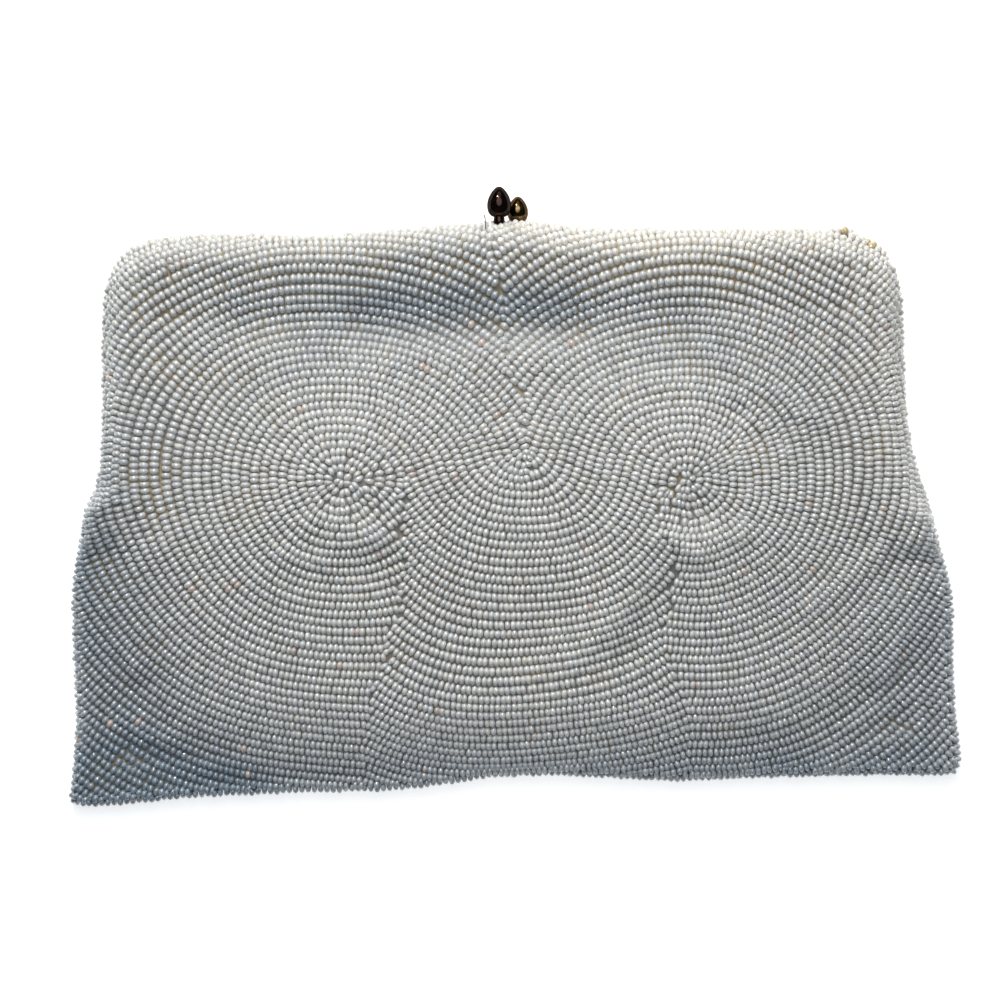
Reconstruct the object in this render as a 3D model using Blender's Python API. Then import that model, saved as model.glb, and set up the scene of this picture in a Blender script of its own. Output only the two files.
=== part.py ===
"""Beaded evening clutch on a concealed hinged frame, closed and lying on its back.

+X runs across the purse, +Y from its bottom seam to its clasp, and +Z out of its front panel.
The origin is the middle of the purse's box, on the surface that it lies on. Lengths are in metres.
"""

import math

import bmesh
import bpy
import numpy as np
from mathutils import Matrix, Vector

# Purse outline
BOTTOM_WIDTH = 0.2066  # across the bottom corners
FRAME_WIDTH = 0.1845  # across the hems over the frame's legs
PURSE_HEIGHT = 0.1265  # from the middle of the bottom seam to the rim
BOTTOM_SAG = 0.0071  # how far the left bottom corner hangs below the middle of the seam
RIM_CROWN = 0.0016  # how far the rim rises where the clasp is
SHOULDER_REACH = 0.0180  # length of edge that each rounded top corner takes
TOE_REACH = 0.0030  # the same at the bottom corners

# Depths, upwards from the surface that the purse lies on
BELLY_DEPTH = 0.0180  # to the top of the front panel's belly
FRAME_HALF_DEPTH = 0.0076  # one beaded hem, from the parting line out
SEAM_HEIGHT = 0.00275  # the parting line at the bottom seam
HEM_REACH = 0.0070  # how far in from the edge a hem's rounding goes
SEAM_REACH = 0.0018  # the same along the sewn seams
HOLLOW_WIDTH = 0.0110  # from the frame's hem to where the cloth hangs free
WALL = 0.0026  # cloth with its beads
GAP = 0.0003  # clearance between pieces that touch

# Frame and clasp
LEG_LENGTH = 0.0600  # from the rim down to the hinge
BAR_RADIUS = 0.0016
KNUCKLE_RADIUS = 0.0024
KNUCKLE_LENGTH = 0.0030
BAR_PLAY = 0.0009  # room between a hem's cloth and the bar in it
POST_RADIUS = 0.0009
KNOB_DIAMETER = 0.0051
KNOB_HEIGHT = 0.0066
COLLAR_DIAMETER = 0.0024
COLLAR_HEIGHT = 0.0018
BACK_KNOB_SCALE = 0.92  # the back knob is a little smaller
BACK_KNOB_DROP = 0.0018  # and its post is shorter by this
FRONT_KNOB_ACROSS = -0.0032
BACK_KNOB_ACROSS = 0.0011

# Up the purse (share of PURSE_HEIGHT): how far each side stands in from the bottom corners, as a share of
# half the difference between the two widths. The frame sits a little to the left of the pouch.
SIDES = (
    # up, left, right
    (-0.06, 0.00, -0.03),
    (0.02, 0.13, 0.00),
    (0.07, 0.17, 0.06),
    (0.14, 0.19, 0.15),
    (0.23, 0.15, 0.21),
    (0.32, 0.15, 0.22),
    (0.40, 0.24, 0.40),
    (0.45, 0.39, 0.56),
    (0.49, 0.44, 0.67),
    (0.52, 0.64, 0.76),
    (0.56, 0.75, 0.92),
    (0.61, 0.79, 1.08),
    (0.75, 0.80, 1.20),
    (1.03, 0.82, 1.30),
)

# Across the bottom seam (share of its width): how far it hangs, as a share of BOTTOM_SAG
BOTTOM_SEAM = (
    # across, sag
    (0.00, 1.00),
    (0.05, 0.96),
    (0.12, 0.74),
    (0.20, 0.60),
    (0.27, 0.49),
    (0.35, 0.46),
    (0.42, 0.26),
    (0.47, 0.03),
    (0.55, -0.06),
    (0.68, 0.13),
    (0.76, 0.03),
    (0.85, -0.05),
    (1.00, -0.10),
)

# Across the rim (share of its width): how far it rises, as a share of RIM_CROWN
RIM = (
    # across, rise
    (0.00, -1.70),
    (0.16, -1.15),
    (0.29, -0.85),
    (0.36, -0.10),
    (0.45, 0.70),
    (0.53, 0.95),
    (0.58, 0.15),
    (0.80, -0.15),
    (1.00, -0.80),
)

# Up the front panel: height of its middle line as a share of BELLY_DEPTH, and how square its section is
BELLY = (
    # up, crown, squareness
    (-0.06, 0.28, 3.0),
    (0.00, 0.31, 3.0),
    (0.04, 0.42, 3.0),
    (0.10, 0.54, 3.0),
    (0.20, 0.68, 3.0),
    (0.32, 0.83, 3.0),
    (0.45, 0.97, 3.2),
    (0.54, 1.00, 3.5),
    (0.65, 0.95, 4.0),
    (0.76, 0.84, 5.0),
    (0.85, 0.73, 6.0),
    (1.03, 0.73, 6.0),
)

# Folds and dents of the front. Each runs from its start past its middle to its end, with places across (share
# of BOTTOM_WIDTH from the middle) and up (share of PURSE_HEIGHT). Its half width and lift are shares of
# BELLY_DEPTH, and a valley has a negative lift.
FOLDS = (
    # start across, up, middle across, up, end across, up, half width, lift
    (0.01, 0.69, 0.15, 0.77, 0.28, 0.62, 0.22, -0.045),
    (0.04, 0.63, 0.15, 0.70, 0.25, 0.60, 0.22, 0.030),
    (0.25, 0.68, 0.28, 0.59, 0.27, 0.52, 0.16, -0.035),
    (0.19, 0.51, 0.20, 0.51, 0.22, 0.50, 0.22, -0.080),
    (0.16, 0.46, 0.12, 0.33, 0.06, 0.23, 0.20, 0.045),
    (0.17, 0.40, 0.14, 0.29, 0.11, 0.23, 0.18, -0.040),
    (-0.23, 0.42, -0.20, 0.37, -0.13, 0.41, 0.17, -0.035),
    (-0.19, 0.52, -0.18, 0.50, -0.16, 0.49, 0.20, -0.045),
    (-0.36, 0.54, -0.35, 0.65, -0.29, 0.74, 0.25, -0.035),
    (-0.13, 0.33, -0.13, 0.29, -0.12, 0.25, 0.40, -0.035),
    (0.37, 0.08, 0.43, 0.16, 0.49, 0.26, 0.28, -0.055),
    (0.27, 0.16, 0.35, 0.23, 0.43, 0.28, 0.40, 0.040),
    (-0.49, 0.25, -0.45, 0.20, -0.40, 0.16, 0.28, -0.050),
    (-0.46, 0.11, -0.41, 0.05, -0.35, 0.02, 0.28, -0.050),
    (-0.42, 0.42, -0.41, 0.40, -0.41, 0.38, 0.55, -0.060),
    (0.42, 0.43, 0.42, 0.41, 0.41, 0.39, 0.55, -0.060),
)

# Half profile of a knob's egg: height above the collar as a share of the knob's, radius as a share of its own
KNOB_PROFILE = (
    # up, radius
    (0.02, 0.62),
    (0.12, 0.86),
    (0.28, 0.99),
    (0.42, 0.97),
    (0.58, 0.83),
    (0.74, 0.58),
    (0.88, 0.32),
    (0.96, 0.15),
)

# Resolution
OUTLINE_STEPS = 60  # points along each edge of the outline
HEM_STEPS = (0.0, 0.12, 0.34, 0.64, 1.0)  # rows of faces over a hem, as shares of its reach
FRONT_COLUMNS, FRONT_ROWS = 36, 21
BACK_COLUMNS, BACK_ROWS = 14, 9
BAR_POINTS = 44
KNOB_SIDES = 14

HINGE_UP = PURSE_HEIGHT - LEG_LENGTH
BAR_INSET = WALL + BAR_PLAY + BAR_RADIUS
BAR_LIFT = GAP + BAR_RADIUS  # from the parting line to a bar's middle


def column(table, number, at):
    """A table's column as a smooth function of its first column, read at the given places."""
    rows = np.array(table, float)
    places, values = rows[:, 0], rows[:, number]
    slopes = np.gradient(values, places)
    at = np.clip(np.asarray(at, float), places[0], places[-1])
    row = np.clip(np.searchsorted(places, at) - 1, 0, len(places) - 2)
    span = places[row + 1] - places[row]
    t = (at - places[row]) / span
    start, end = values[row], values[row + 1]
    return (
        start * (1 + 2 * t) * (1 - t) ** 2
        + end * t**2 * (3 - 2 * t)
        + slopes[row] * span * t * (1 - t) ** 2
        - slopes[row + 1] * span * t**2 * (1 - t)
    )


def ease(share):
    """0 to 1 with level ends."""
    share = np.clip(share, 0, 1)
    return share * share * (3 - 2 * share)


def side_x(up, number):
    """Distance from the middle line to one side of the purse, column 1 for the left and 2 for the right."""
    taper = (BOTTOM_WIDTH - FRAME_WIDTH) / 2
    return BOTTOM_WIDTH / 2 - taper * column(SIDES, number, np.asarray(up) / PURSE_HEIGHT)


def lengths(points):
    steps = np.linalg.norm(np.diff(points, axis=0), axis=1)
    return np.concatenate([[0.0], np.cumsum(steps)])


def at_length(points, distance):
    """Points of a polyline at the given distances from its start."""
    run = lengths(points)
    return np.stack([np.interp(distance, run, points[:, axis]) for axis in (0, 1)], axis=-1)


def spread(points, count):
    """A polyline's points spread evenly along it."""
    return at_length(points, np.linspace(0, lengths(points)[-1], count))


def rounded(before, after, reach):
    """Two edges that meet at a corner, each ending in its half of the corner's curve."""
    corner = before[-1]
    start = at_length(before, lengths(before)[-1] - reach)
    end = at_length(after, reach)
    t = np.linspace(0, 1, 13)[:, None]
    curve = start * (1 - t) ** 2 + 2 * corner * t * (1 - t) + end * t**2
    kept_before = before[lengths(before) < lengths(before)[-1] - reach]
    kept_after = after[lengths(after) > reach]
    return np.vstack([kept_before, curve[:7]]), np.vstack([curve[6:], kept_after])


def outline_edges():
    """The purse's outline as its left, top, right and bottom edges, each running left to right or upwards."""
    share = np.linspace(0, 1, OUTLINE_STEPS)
    rim = PURSE_HEIGHT + RIM_CROWN * column(RIM, 1, share)
    seam = -BOTTOM_SAG * column(BOTTOM_SEAM, 1, share)
    up_left = seam[0] + (rim[0] - seam[0]) * share
    up_right = seam[-1] + (rim[-1] - seam[-1]) * share
    left = np.stack([-side_x(up_left, 1), up_left], axis=1)
    right = np.stack([side_x(up_right, 2), up_right], axis=1)
    top = np.stack([left[-1, 0] + (right[-1, 0] - left[-1, 0]) * share, rim], axis=1)
    bottom = np.stack([left[0, 0] + (right[0, 0] - left[0, 0]) * share, seam], axis=1)

    left, top = rounded(left, top, SHOULDER_REACH)
    top, right = rounded(top, right[::-1], SHOULDER_REACH)
    right, bottom = rounded(right, bottom[::-1], TOE_REACH)
    bottom, left = rounded(bottom, left, TOE_REACH)
    edges = (left, top, right[::-1], bottom[::-1])
    return [spread(edge, OUTLINE_STEPS) for edge in edges]


EDGES = outline_edges()
LEFT, TOP, RIGHT, BOTTOM = EDGES
OUTLINE = np.vstack([LEFT[:-1], TOP[:-1], RIGHT[:0:-1], BOTTOM[::-1]])
FRAME_EDGE = OUTLINE[(OUTLINE[:, 1] > HINGE_UP)]
MIDDLE_UP = (OUTLINE[:, 1].min() + TOP[:, 1].max() + KNOB_HEIGHT + COLLAR_HEIGHT) / 2
MIDDLE_ACROSS = (OUTLINE[:, 0].min() + OUTLINE[:, 0].max()) / 2


def distance_to(points, line):
    """Distance of each point to a polyline."""
    start, step = line[:-1], np.diff(line, axis=0)
    away = points[..., None, :] - start
    share = np.clip((away * step).sum(-1) / (step * step).sum(-1), 0, 1)
    return np.linalg.norm(away - share[..., None] * step, axis=-1).min(-1)


def in_plan(across, up):
    """A grid of places in the outline, between its four edges. Both arguments are shares."""
    def on(edge, share):
        return at_length(edge, share * lengths(edge)[-1])

    a, b = across[:, None, None], up[None, :, None]
    left, right = on(LEFT, up)[None], on(RIGHT, up)[None]
    bottom, top = on(BOTTOM, across)[:, None], on(TOP, across)[:, None]
    corners = (
        LEFT[0] * (1 - a) * (1 - b) + RIGHT[0] * a * (1 - b) + LEFT[-1] * (1 - a) * b + RIGHT[-1] * a * b
    )
    return left * (1 - a) + right * a + bottom * (1 - b) + top * b - corners


def parting_height(up):
    """Height of the line where the two panels meet: level round the frame, then down to the bottom seam."""
    fall = ease((HINGE_UP - HEM_REACH - up) / (HINGE_UP - HEM_REACH))
    return FRAME_HALF_DEPTH + (SEAM_HEIGHT - FRAME_HALF_DEPTH) * fall


def frame_share(up):
    """1 beside the frame, 0 along the sewn seams."""
    return ease((up - HINGE_UP) / HEM_REACH + 1)


def edge_rounding(points, seam_reach):
    """0 at the outline to 1 further in, along a quarter of an ellipse."""
    held = frame_share(points[..., 1])
    reach = seam_reach + (HEM_REACH - seam_reach) * held
    left = 1 - np.clip(distance_to(points, OUTLINE) / reach, 0, 1)
    return np.sqrt(1 - left * left)


def folds_at(points):
    """Lift of all folds at each place."""
    total = np.zeros(points.shape[:-1])
    size = np.array([BOTTOM_WIDTH, PURSE_HEIGHT])
    t = np.linspace(0, 1, 9)[:, None]
    for fold in FOLDS:
        start, middle, end = np.array(fold[:6]).reshape(3, 2) * size
        control = 2 * middle - (start + end) / 2
        line = start * (1 - t) ** 2 + 2 * control * t * (1 - t) + end * t**2
        width, lift = fold[6] * BELLY_DEPTH, fold[7] * BELLY_DEPTH
        total += lift * np.exp(-0.5 * (distance_to(points, line) / width) ** 2)
    return total


def front_height(points):
    """Height of the front panel's beads over the surface that the purse lies on."""
    up = points[..., 1]
    share = up / PURSE_HEIGHT
    low, high = -side_x(up, 1), side_x(up, 2)
    sideways = np.clip(np.abs(2 * (points[..., 0] - low) / (high - low) - 1), 0, 1)
    parting = parting_height(up)
    seam = parting + WALL
    crown = BELLY_DEPTH * column(BELLY, 1, share)
    pouch = seam + (crown - seam) * (1 - sideways ** column(BELLY, 2, share))
    free = ease((distance_to(points, FRAME_EDGE) - HEM_REACH) / HOLLOW_WIDTH)
    inside = ease(distance_to(points, OUTLINE) / HOLLOW_WIDTH)
    pouch = pouch + folds_at(points) * inside
    full = pouch * free + (parting + FRAME_HALF_DEPTH) * (1 - free)
    return parting + (full - parting) * edge_rounding(points, SEAM_REACH)


def back_height(points):
    """Height of the back panel's beads, which lie on the surface but for the rounding at the edge."""
    return parting_height(points[..., 1]) * (1 - edge_rounding(points, SEAM_REACH))


def wall_across(points, height_of):
    """Upright thickness of a wall at each place, thicker where the surface is steep."""
    step = WALL / 10
    slopes = [
        (height_of(points + shift) - height_of(points - shift)) / (2 * step)
        for shift in (np.array([step, 0]), np.array([0, step]))
    ]
    return WALL * np.sqrt(1 + np.minimum(slopes[0] ** 2 + slopes[1] ** 2, 1))


def ladder(length, low_reach, high_reach, count):
    """Shares of a length: the steps over the rounding at each end, and even ones between."""
    low = np.array(HEM_STEPS) * low_reach
    high = length - np.array(HEM_STEPS[::-1]) * high_reach
    return np.concatenate([low, np.linspace(low[-1], high[0], count)[1:-1], high]) / length


def material(name, colour, roughness, metallic=0.0):
    made = bpy.data.materials.new(name)
    made.use_nodes = True
    shader = made.node_tree.nodes["Principled BSDF"]
    shader.inputs["Base Color"].default_value = (*colour, 1.0)
    shader.inputs["Roughness"].default_value = roughness
    shader.inputs["Metallic"].default_value = metallic
    made.diffuse_color = (*colour, 1.0)
    return made


def new_object(name, mesh, finish):
    made = bpy.data.objects.new(name, mesh)
    made.location = (-MIDDLE_ACROSS, -MIDDLE_UP, 0)
    bpy.context.scene.collection.objects.link(made)
    made.data.materials.append(finish)
    return made


def shell(name, outer, inner, finish, faces_up):
    """A wall between two grids of points with the same rows, closed round its rim."""
    columns, rows = outer.shape[:2]
    bm = bmesh.new()
    sheets = []
    for grid in (outer, inner):
        sheets.append([[bm.verts.new(point) for point in line] for line in grid])
    for sheet, turned in zip(sheets, (not faces_up, faces_up)):
        for i in range(columns - 1):
            for j in range(rows - 1):
                corners = [sheet[i][j], sheet[i + 1][j], sheet[i + 1][j + 1], sheet[i][j + 1]]
                bm.faces.new(corners[::-1] if turned else corners)
    rims = [
        [bm.edges.get(pair) for pair in zip(ring, ring[1:] + ring[:1])]
        for ring in (
            [sheet[i][0] for i in range(columns)]
            + [sheet[-1][j] for j in range(1, rows)]
            + [sheet[i][-1] for i in range(columns - 2, -1, -1)]
            + [sheet[0][j] for j in range(rows - 2, 0, -1)]
            for sheet in sheets
        )
    ]
    bmesh.ops.bridge_loops(bm, edges=rims[0] + rims[1])
    bmesh.ops.recalc_face_normals(bm, faces=bm.faces)
    mesh = bpy.data.meshes.new(name)
    bm.to_mesh(mesh)
    bm.free()
    mesh.shade_smooth()
    mesh.set_sharp_from_angle(angle=math.radians(50))
    return new_object(name, mesh, finish)


def panel(name, height_of, side, columns, rows, finish):
    """One beaded panel: side is 1 for the front, whose wall hangs below its beads, and -1 for the back."""
    across = ladder(BOTTOM_WIDTH, HEM_REACH, HEM_REACH, columns)
    up = ladder(PURSE_HEIGHT, SEAM_REACH * 2, HEM_REACH, rows)
    outside = in_plan(across, up)
    inset_across, inset_up = WALL / BOTTOM_WIDTH, WALL / PURSE_HEIGHT
    inside = in_plan(
        inset_across + (1 - 2 * inset_across) * across,
        inset_up + (1 - 2 * inset_up) * up,
    )
    limit = [parting_height(points[..., 1]) + side * GAP / 2 for points in (outside, inside)]
    outer = height_of(outside)
    inner = height_of(inside) - side * wall_across(inside, height_of)
    rim = np.zeros(inner.shape, bool)
    rim[[0, -1], :] = rim[:, [0, -1]] = True
    if side > 0:
        outer, inner = np.maximum(outer, limit[0]), np.maximum(inner, limit[1])
    else:
        outer, inner = np.minimum(outer, limit[0]), np.minimum(inner, limit[1])
    outer[rim], inner[rim] = limit[0][rim], limit[1][rim]
    surfaces = [np.dstack([plan, height]) for plan, height in ((outside, outer), (inside, inner))]
    return shell(name, *surfaces, finish, side > 0)


def frame_path(count):
    """The middle of a frame bar in plan: along the outline, set in from it, from one hinge to the other."""
    way = np.vstack([LEFT[LEFT[:, 1] > HINGE_UP], TOP[1:-1], RIGHT[RIGHT[:, 1] > HINGE_UP][::-1]])
    way = spread(way, count * 4)
    along = np.gradient(way, axis=0)
    inward = np.stack([along[:, 1], -along[:, 0]], axis=1) / np.linalg.norm(along, axis=1)[:, None]
    path = spread(way + inward * BAR_INSET, count)
    path[[0, -1], 1] = HINGE_UP
    return path


def bar(name, side, finish):
    """One half of the frame: a bent wire, beside the parting line."""
    curve = bpy.data.curves.new(name, "CURVE")
    curve.dimensions = "3D"
    curve.bevel_depth = BAR_RADIUS
    curve.bevel_resolution = 2
    curve.use_fill_caps = True
    path = frame_path(BAR_POINTS)
    spline = curve.splines.new("POLY")
    spline.points.add(len(path) - 1)
    height = FRAME_HALF_DEPTH + side * BAR_LIFT
    for point, (x, y) in zip(spline.points, path):
        point.co = (x, y, height, 1)
    return new_object(name, curve, finish)


def knuckle(name, end, finish):
    """A hinge pin across the ends of both bars."""
    bm = bmesh.new()
    place = Matrix.Translation((*end, 0)) @ Matrix.Rotation(math.pi / 2, 4, "Y")
    bmesh.ops.create_cone(
        bm,
        cap_ends=True,
        segments=KNOB_SIDES,
        radius1=KNUCKLE_RADIUS,
        radius2=KNUCKLE_RADIUS,
        depth=KNUCKLE_LENGTH,
        matrix=place,
    )
    mesh = bpy.data.meshes.new(name)
    bm.to_mesh(mesh)
    bm.free()
    made = new_object(name, mesh, finish)
    made.location.z = FRAME_HALF_DEPTH
    return made


def clasp(name, across, side, scale, drop, finish):
    """A knob on its collar and post, turned about the post and standing on a bar."""
    path = frame_path(BAR_POINTS * 4)
    seat = path[np.argmin(np.abs(path[:, 0] - across)), 1] + BAR_RADIUS + GAP
    rim = TOP[np.argmin(np.abs(TOP[:, 0] - across)), 1]
    collar = rim - drop
    egg = collar + COLLAR_HEIGHT * scale
    radius = KNOB_DIAMETER * scale / 2
    profile = [
        (0, seat),
        (POST_RADIUS, seat),
        (POST_RADIUS, collar),
        (COLLAR_DIAMETER * scale / 2, collar),
        (COLLAR_DIAMETER * scale / 2, egg),
    ]
    profile += [(radius * wide, egg + KNOB_HEIGHT * scale * up) for up, wide in KNOB_PROFILE]
    profile += [(0, egg + KNOB_HEIGHT * scale)]
    bm = bmesh.new()
    verts = [bm.verts.new((x, y, 0)) for x, y in profile]
    edges = [bm.edges.new(pair) for pair in zip(verts, verts[1:])]
    bmesh.ops.spin(
        bm,
        geom=verts + edges,
        cent=(0, 0, 0),
        axis=(0, 1, 0),
        angle=2 * math.pi,
        steps=KNOB_SIDES,
        use_merge=True,
    )
    bmesh.ops.remove_doubles(bm, verts=bm.verts, dist=1e-6)
    bmesh.ops.recalc_face_normals(bm, faces=bm.faces)
    mesh = bpy.data.meshes.new(name)
    bm.to_mesh(mesh)
    bm.free()
    mesh.shade_smooth()
    mesh.set_sharp_from_angle(angle=math.radians(40))
    made = new_object(name, mesh, finish)
    made.location += Vector((across, 0, FRAME_HALF_DEPTH + side * BAR_LIFT))
    return made


def post_hole(cloth, across, side):
    """Cuts the way for a clasp's post through a hem."""
    bm = bmesh.new()
    bmesh.ops.create_cone(
        bm,
        cap_ends=True,
        segments=KNOB_SIDES,
        radius1=POST_RADIUS + GAP,
        radius2=POST_RADIUS + GAP,
        depth=BAR_INSET * 2,
        matrix=Matrix.Rotation(math.pi / 2, 4, "X"),
    )
    mesh = bpy.data.meshes.new("post_way")
    bm.to_mesh(mesh)
    bm.free()
    cutter = bpy.data.objects.new(f"{cloth.name}_post_way", mesh)
    bpy.context.scene.collection.objects.link(cutter)
    cutter.location = cloth.location + Vector((across, PURSE_HEIGHT, FRAME_HALF_DEPTH + side * BAR_LIFT))
    cutter.hide_render = True
    cutter.display_type = "WIRE"
    cut = cloth.modifiers.new("post way", "BOOLEAN")
    cut.operation = "DIFFERENCE"
    cut.object = cutter


def main():
    for old in list(bpy.data.objects):
        bpy.data.objects.remove(old, do_unlink=True)

    front_beads = material("front beads", (0.70, 0.70, 0.68), 0.35)
    back_beads = material("back beads", (0.68, 0.68, 0.66), 0.35)
    steel = material("frame steel", (0.45, 0.43, 0.40), 0.40, 1.0)
    pin_steel = material("hinge steel", (0.40, 0.39, 0.37), 0.45, 1.0)
    dark_gilt = material("dark gilt", (0.22, 0.13, 0.06), 0.15, 1.0)
    gilt = material("worn gilt", (0.45, 0.33, 0.14), 0.22, 1.0)

    front = panel("front_panel", front_height, 1, FRONT_COLUMNS, FRONT_ROWS, front_beads)
    back = panel("back_panel", back_height, -1, BACK_COLUMNS, BACK_ROWS, back_beads)
    post_hole(front, FRONT_KNOB_ACROSS, 1)
    post_hole(back, BACK_KNOB_ACROSS, -1)
    bar("front_frame", 1, steel)
    bar("back_frame", -1, steel)

    below = np.array([0, -(KNUCKLE_RADIUS + GAP)])
    path = frame_path(BAR_POINTS)
    knuckle("hinge_left", path[0] + below, pin_steel)
    knuckle("hinge_right", path[-1] + below, pin_steel)
    clasp("clasp_front", FRONT_KNOB_ACROSS, 1, 1.0, 0.0, dark_gilt)
    clasp("clasp_back", BACK_KNOB_ACROSS, -1, BACK_KNOB_SCALE, BACK_KNOB_DROP, gilt)


main()
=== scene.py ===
# %% [markdown]
# # Dressing a beaded clutch
#
# The CAD model gives the purse its size: two hollow panels of beaded cloth, a hidden wire frame with its two
# hinge knuckles, and a pair of clasp knobs. This lesson puts on what the eye sees. The beads are the whole
# look of such a purse, so most of the cells lay them on the panels, more than nine thousand on each, in rows
# like those that a beader sews.

import math

import bmesh
import bpy
import numpy as np
from mathutils import Matrix, Vector
from mathutils.bvhtree import BVHTree
from mathutils.kdtree import KDTree


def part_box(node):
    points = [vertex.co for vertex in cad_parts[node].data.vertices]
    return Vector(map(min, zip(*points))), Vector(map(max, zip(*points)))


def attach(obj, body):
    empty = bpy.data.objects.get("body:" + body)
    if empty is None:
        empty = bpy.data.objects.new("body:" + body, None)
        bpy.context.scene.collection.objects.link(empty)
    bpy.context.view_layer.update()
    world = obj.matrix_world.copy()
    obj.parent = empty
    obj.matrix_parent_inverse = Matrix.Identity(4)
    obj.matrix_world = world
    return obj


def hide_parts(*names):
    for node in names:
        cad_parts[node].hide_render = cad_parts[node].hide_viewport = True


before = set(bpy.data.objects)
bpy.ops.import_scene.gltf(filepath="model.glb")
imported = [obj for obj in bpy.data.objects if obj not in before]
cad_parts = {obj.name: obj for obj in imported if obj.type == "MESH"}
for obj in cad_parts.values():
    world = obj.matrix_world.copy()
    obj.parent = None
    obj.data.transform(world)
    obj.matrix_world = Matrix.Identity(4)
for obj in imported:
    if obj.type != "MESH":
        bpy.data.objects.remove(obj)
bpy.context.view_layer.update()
MM = 0.001
luck = np.random.default_rng(7)

# %% [markdown]
# ## Helpers
#
# Objects are all made and linked in one way, some steps need one object picked alone, and directions are often
# needed at length 1.

# %% Three small helpers
def add_object(name, data):
    made = bpy.data.objects.new(name, data)
    bpy.context.scene.collection.objects.link(made)
    return made


def pick(thing=None):
    """Leave edit mode and select nothing but the given object."""
    if bpy.context.mode != "OBJECT":
        bpy.ops.object.mode_set(mode="OBJECT")
    bpy.ops.object.select_all(action="DESELECT")
    if thing:
        thing.select_set(True)
        bpy.context.view_layer.objects.active = thing


def unit(vectors):
    return vectors / np.maximum(np.linalg.norm(vectors, axis=1, keepdims=True), 1e-9)


# %% [markdown]
# ## Camera
#
# The purse lies on its back and is seen from straight above. A long lens keeps the sides of the hems from
# showing. The picture is as wide as 1000 times the beads' scale of 0.23 mm, so its width at the height of the
# frame's hems is 230 mm.

# %% The camera
VIEW_WIDTH = 230 * MM
LENS, FILM = 100.0, 36.0
HEM_LEVEL = 7.6 * MM
camera = add_object("camera", bpy.data.cameras.new("camera"))
camera.data.lens = LENS
camera.data.sensor_width = FILM
camera.location = (-3.2 * MM, -0.8 * MM, HEM_LEVEL + VIEW_WIDTH * LENS / FILM)
camera.data.clip_start = 0.01
bpy.context.scene.camera = camera
print("the camera is", round(camera.location.z, 3), "m above the floor")

# %% [markdown]
# ## Floor and light
#
# The floor is plain and nearly white. All three lights stand beyond the clasp, so that the hems shade the
# cloth below them. The strongest is wide, cool and high. A small warm one stands lower and to the left, and a
# weak wide one is lowest. The floor also glows a little of itself, which keeps it white.

# %% The floor and the lights
# Name, place, what it is aimed at and diameter in metres, watts, and colour
LIGHTS = (
    ("key", (-0.14, 0.50, 0.36), (0, 0.02, 0), 0.07, 2.1, (1.0, 0.965, 0.90)),
    ("window", (0.0, 0.60, 0.30), (0, 0.0, 0), 0.36, 0.35, (1.0, 0.96, 0.90)),
    ("sky", (0.0, 0.36, 0.75), (0, 0, 0), 0.7, 2.95, (0.93, 0.965, 1.0)),
)
WORLD_COLOUR, WORLD_STRENGTH = (0.80, 0.90, 1.0, 1.0), 0.12
FLOOR_GLOW = 0.68


def area_light(name, place, aim, size, watts, colour):
    lamp = bpy.data.lights.new(name, "AREA")
    lamp.shape = "DISK"
    lamp.size, lamp.energy, lamp.color = size, watts, colour
    made = add_object(name, lamp)
    made.location = place
    made.rotation_mode = "QUATERNION"
    made.rotation_quaternion = (Vector(aim) - Vector(place)).to_track_quat("-Z", "Y")


pick()
bpy.ops.mesh.primitive_plane_add(size=6, location=(0, 0, -0.0002))
floor = bpy.context.object
floor.name = "floor"

for light in LIGHTS:
    area_light(*light)
world = bpy.data.worlds.new("studio")
bpy.context.scene.world = world
world.use_nodes = True
world.node_tree.nodes["Background"].inputs["Color"].default_value = WORLD_COLOUR
world.node_tree.nodes["Background"].inputs["Strength"].default_value = WORLD_STRENGTH
bpy.context.scene.view_settings.view_transform = "Standard"
print(len(LIGHTS), "lights over a white floor")

# %% [markdown]
# ## Writing materials as sums
#
# A shader is a graph of nodes, but its maths reads best as an expression. A small class wraps a socket, so that
# `noise * 0.5 + 0.2` adds its Math nodes by itself. One method adds any other node.

# %% A socket that can be added and multiplied
class Value:
    """A number that changes over a surface: one output socket in a material's node tree."""

    def __init__(self, paint, socket):
        self.paint, self.socket = paint, socket

    def math(self, operation, *others):
        return self.paint.node("ShaderNodeMath", {"operation": operation}, [self, *others])

    def __add__(self, other):
        return self.math("ADD", other)

    def __mul__(self, other):
        return self.math("MULTIPLY", other)

    def between(self, low, high):
        """0 below low, 1 above high, and a straight ramp between them."""
        return self.paint.node(
            "ShaderNodeMapRange", {"clamp": True}, {"Value": self, "From Min": low, "From Max": high}
        )


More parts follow.
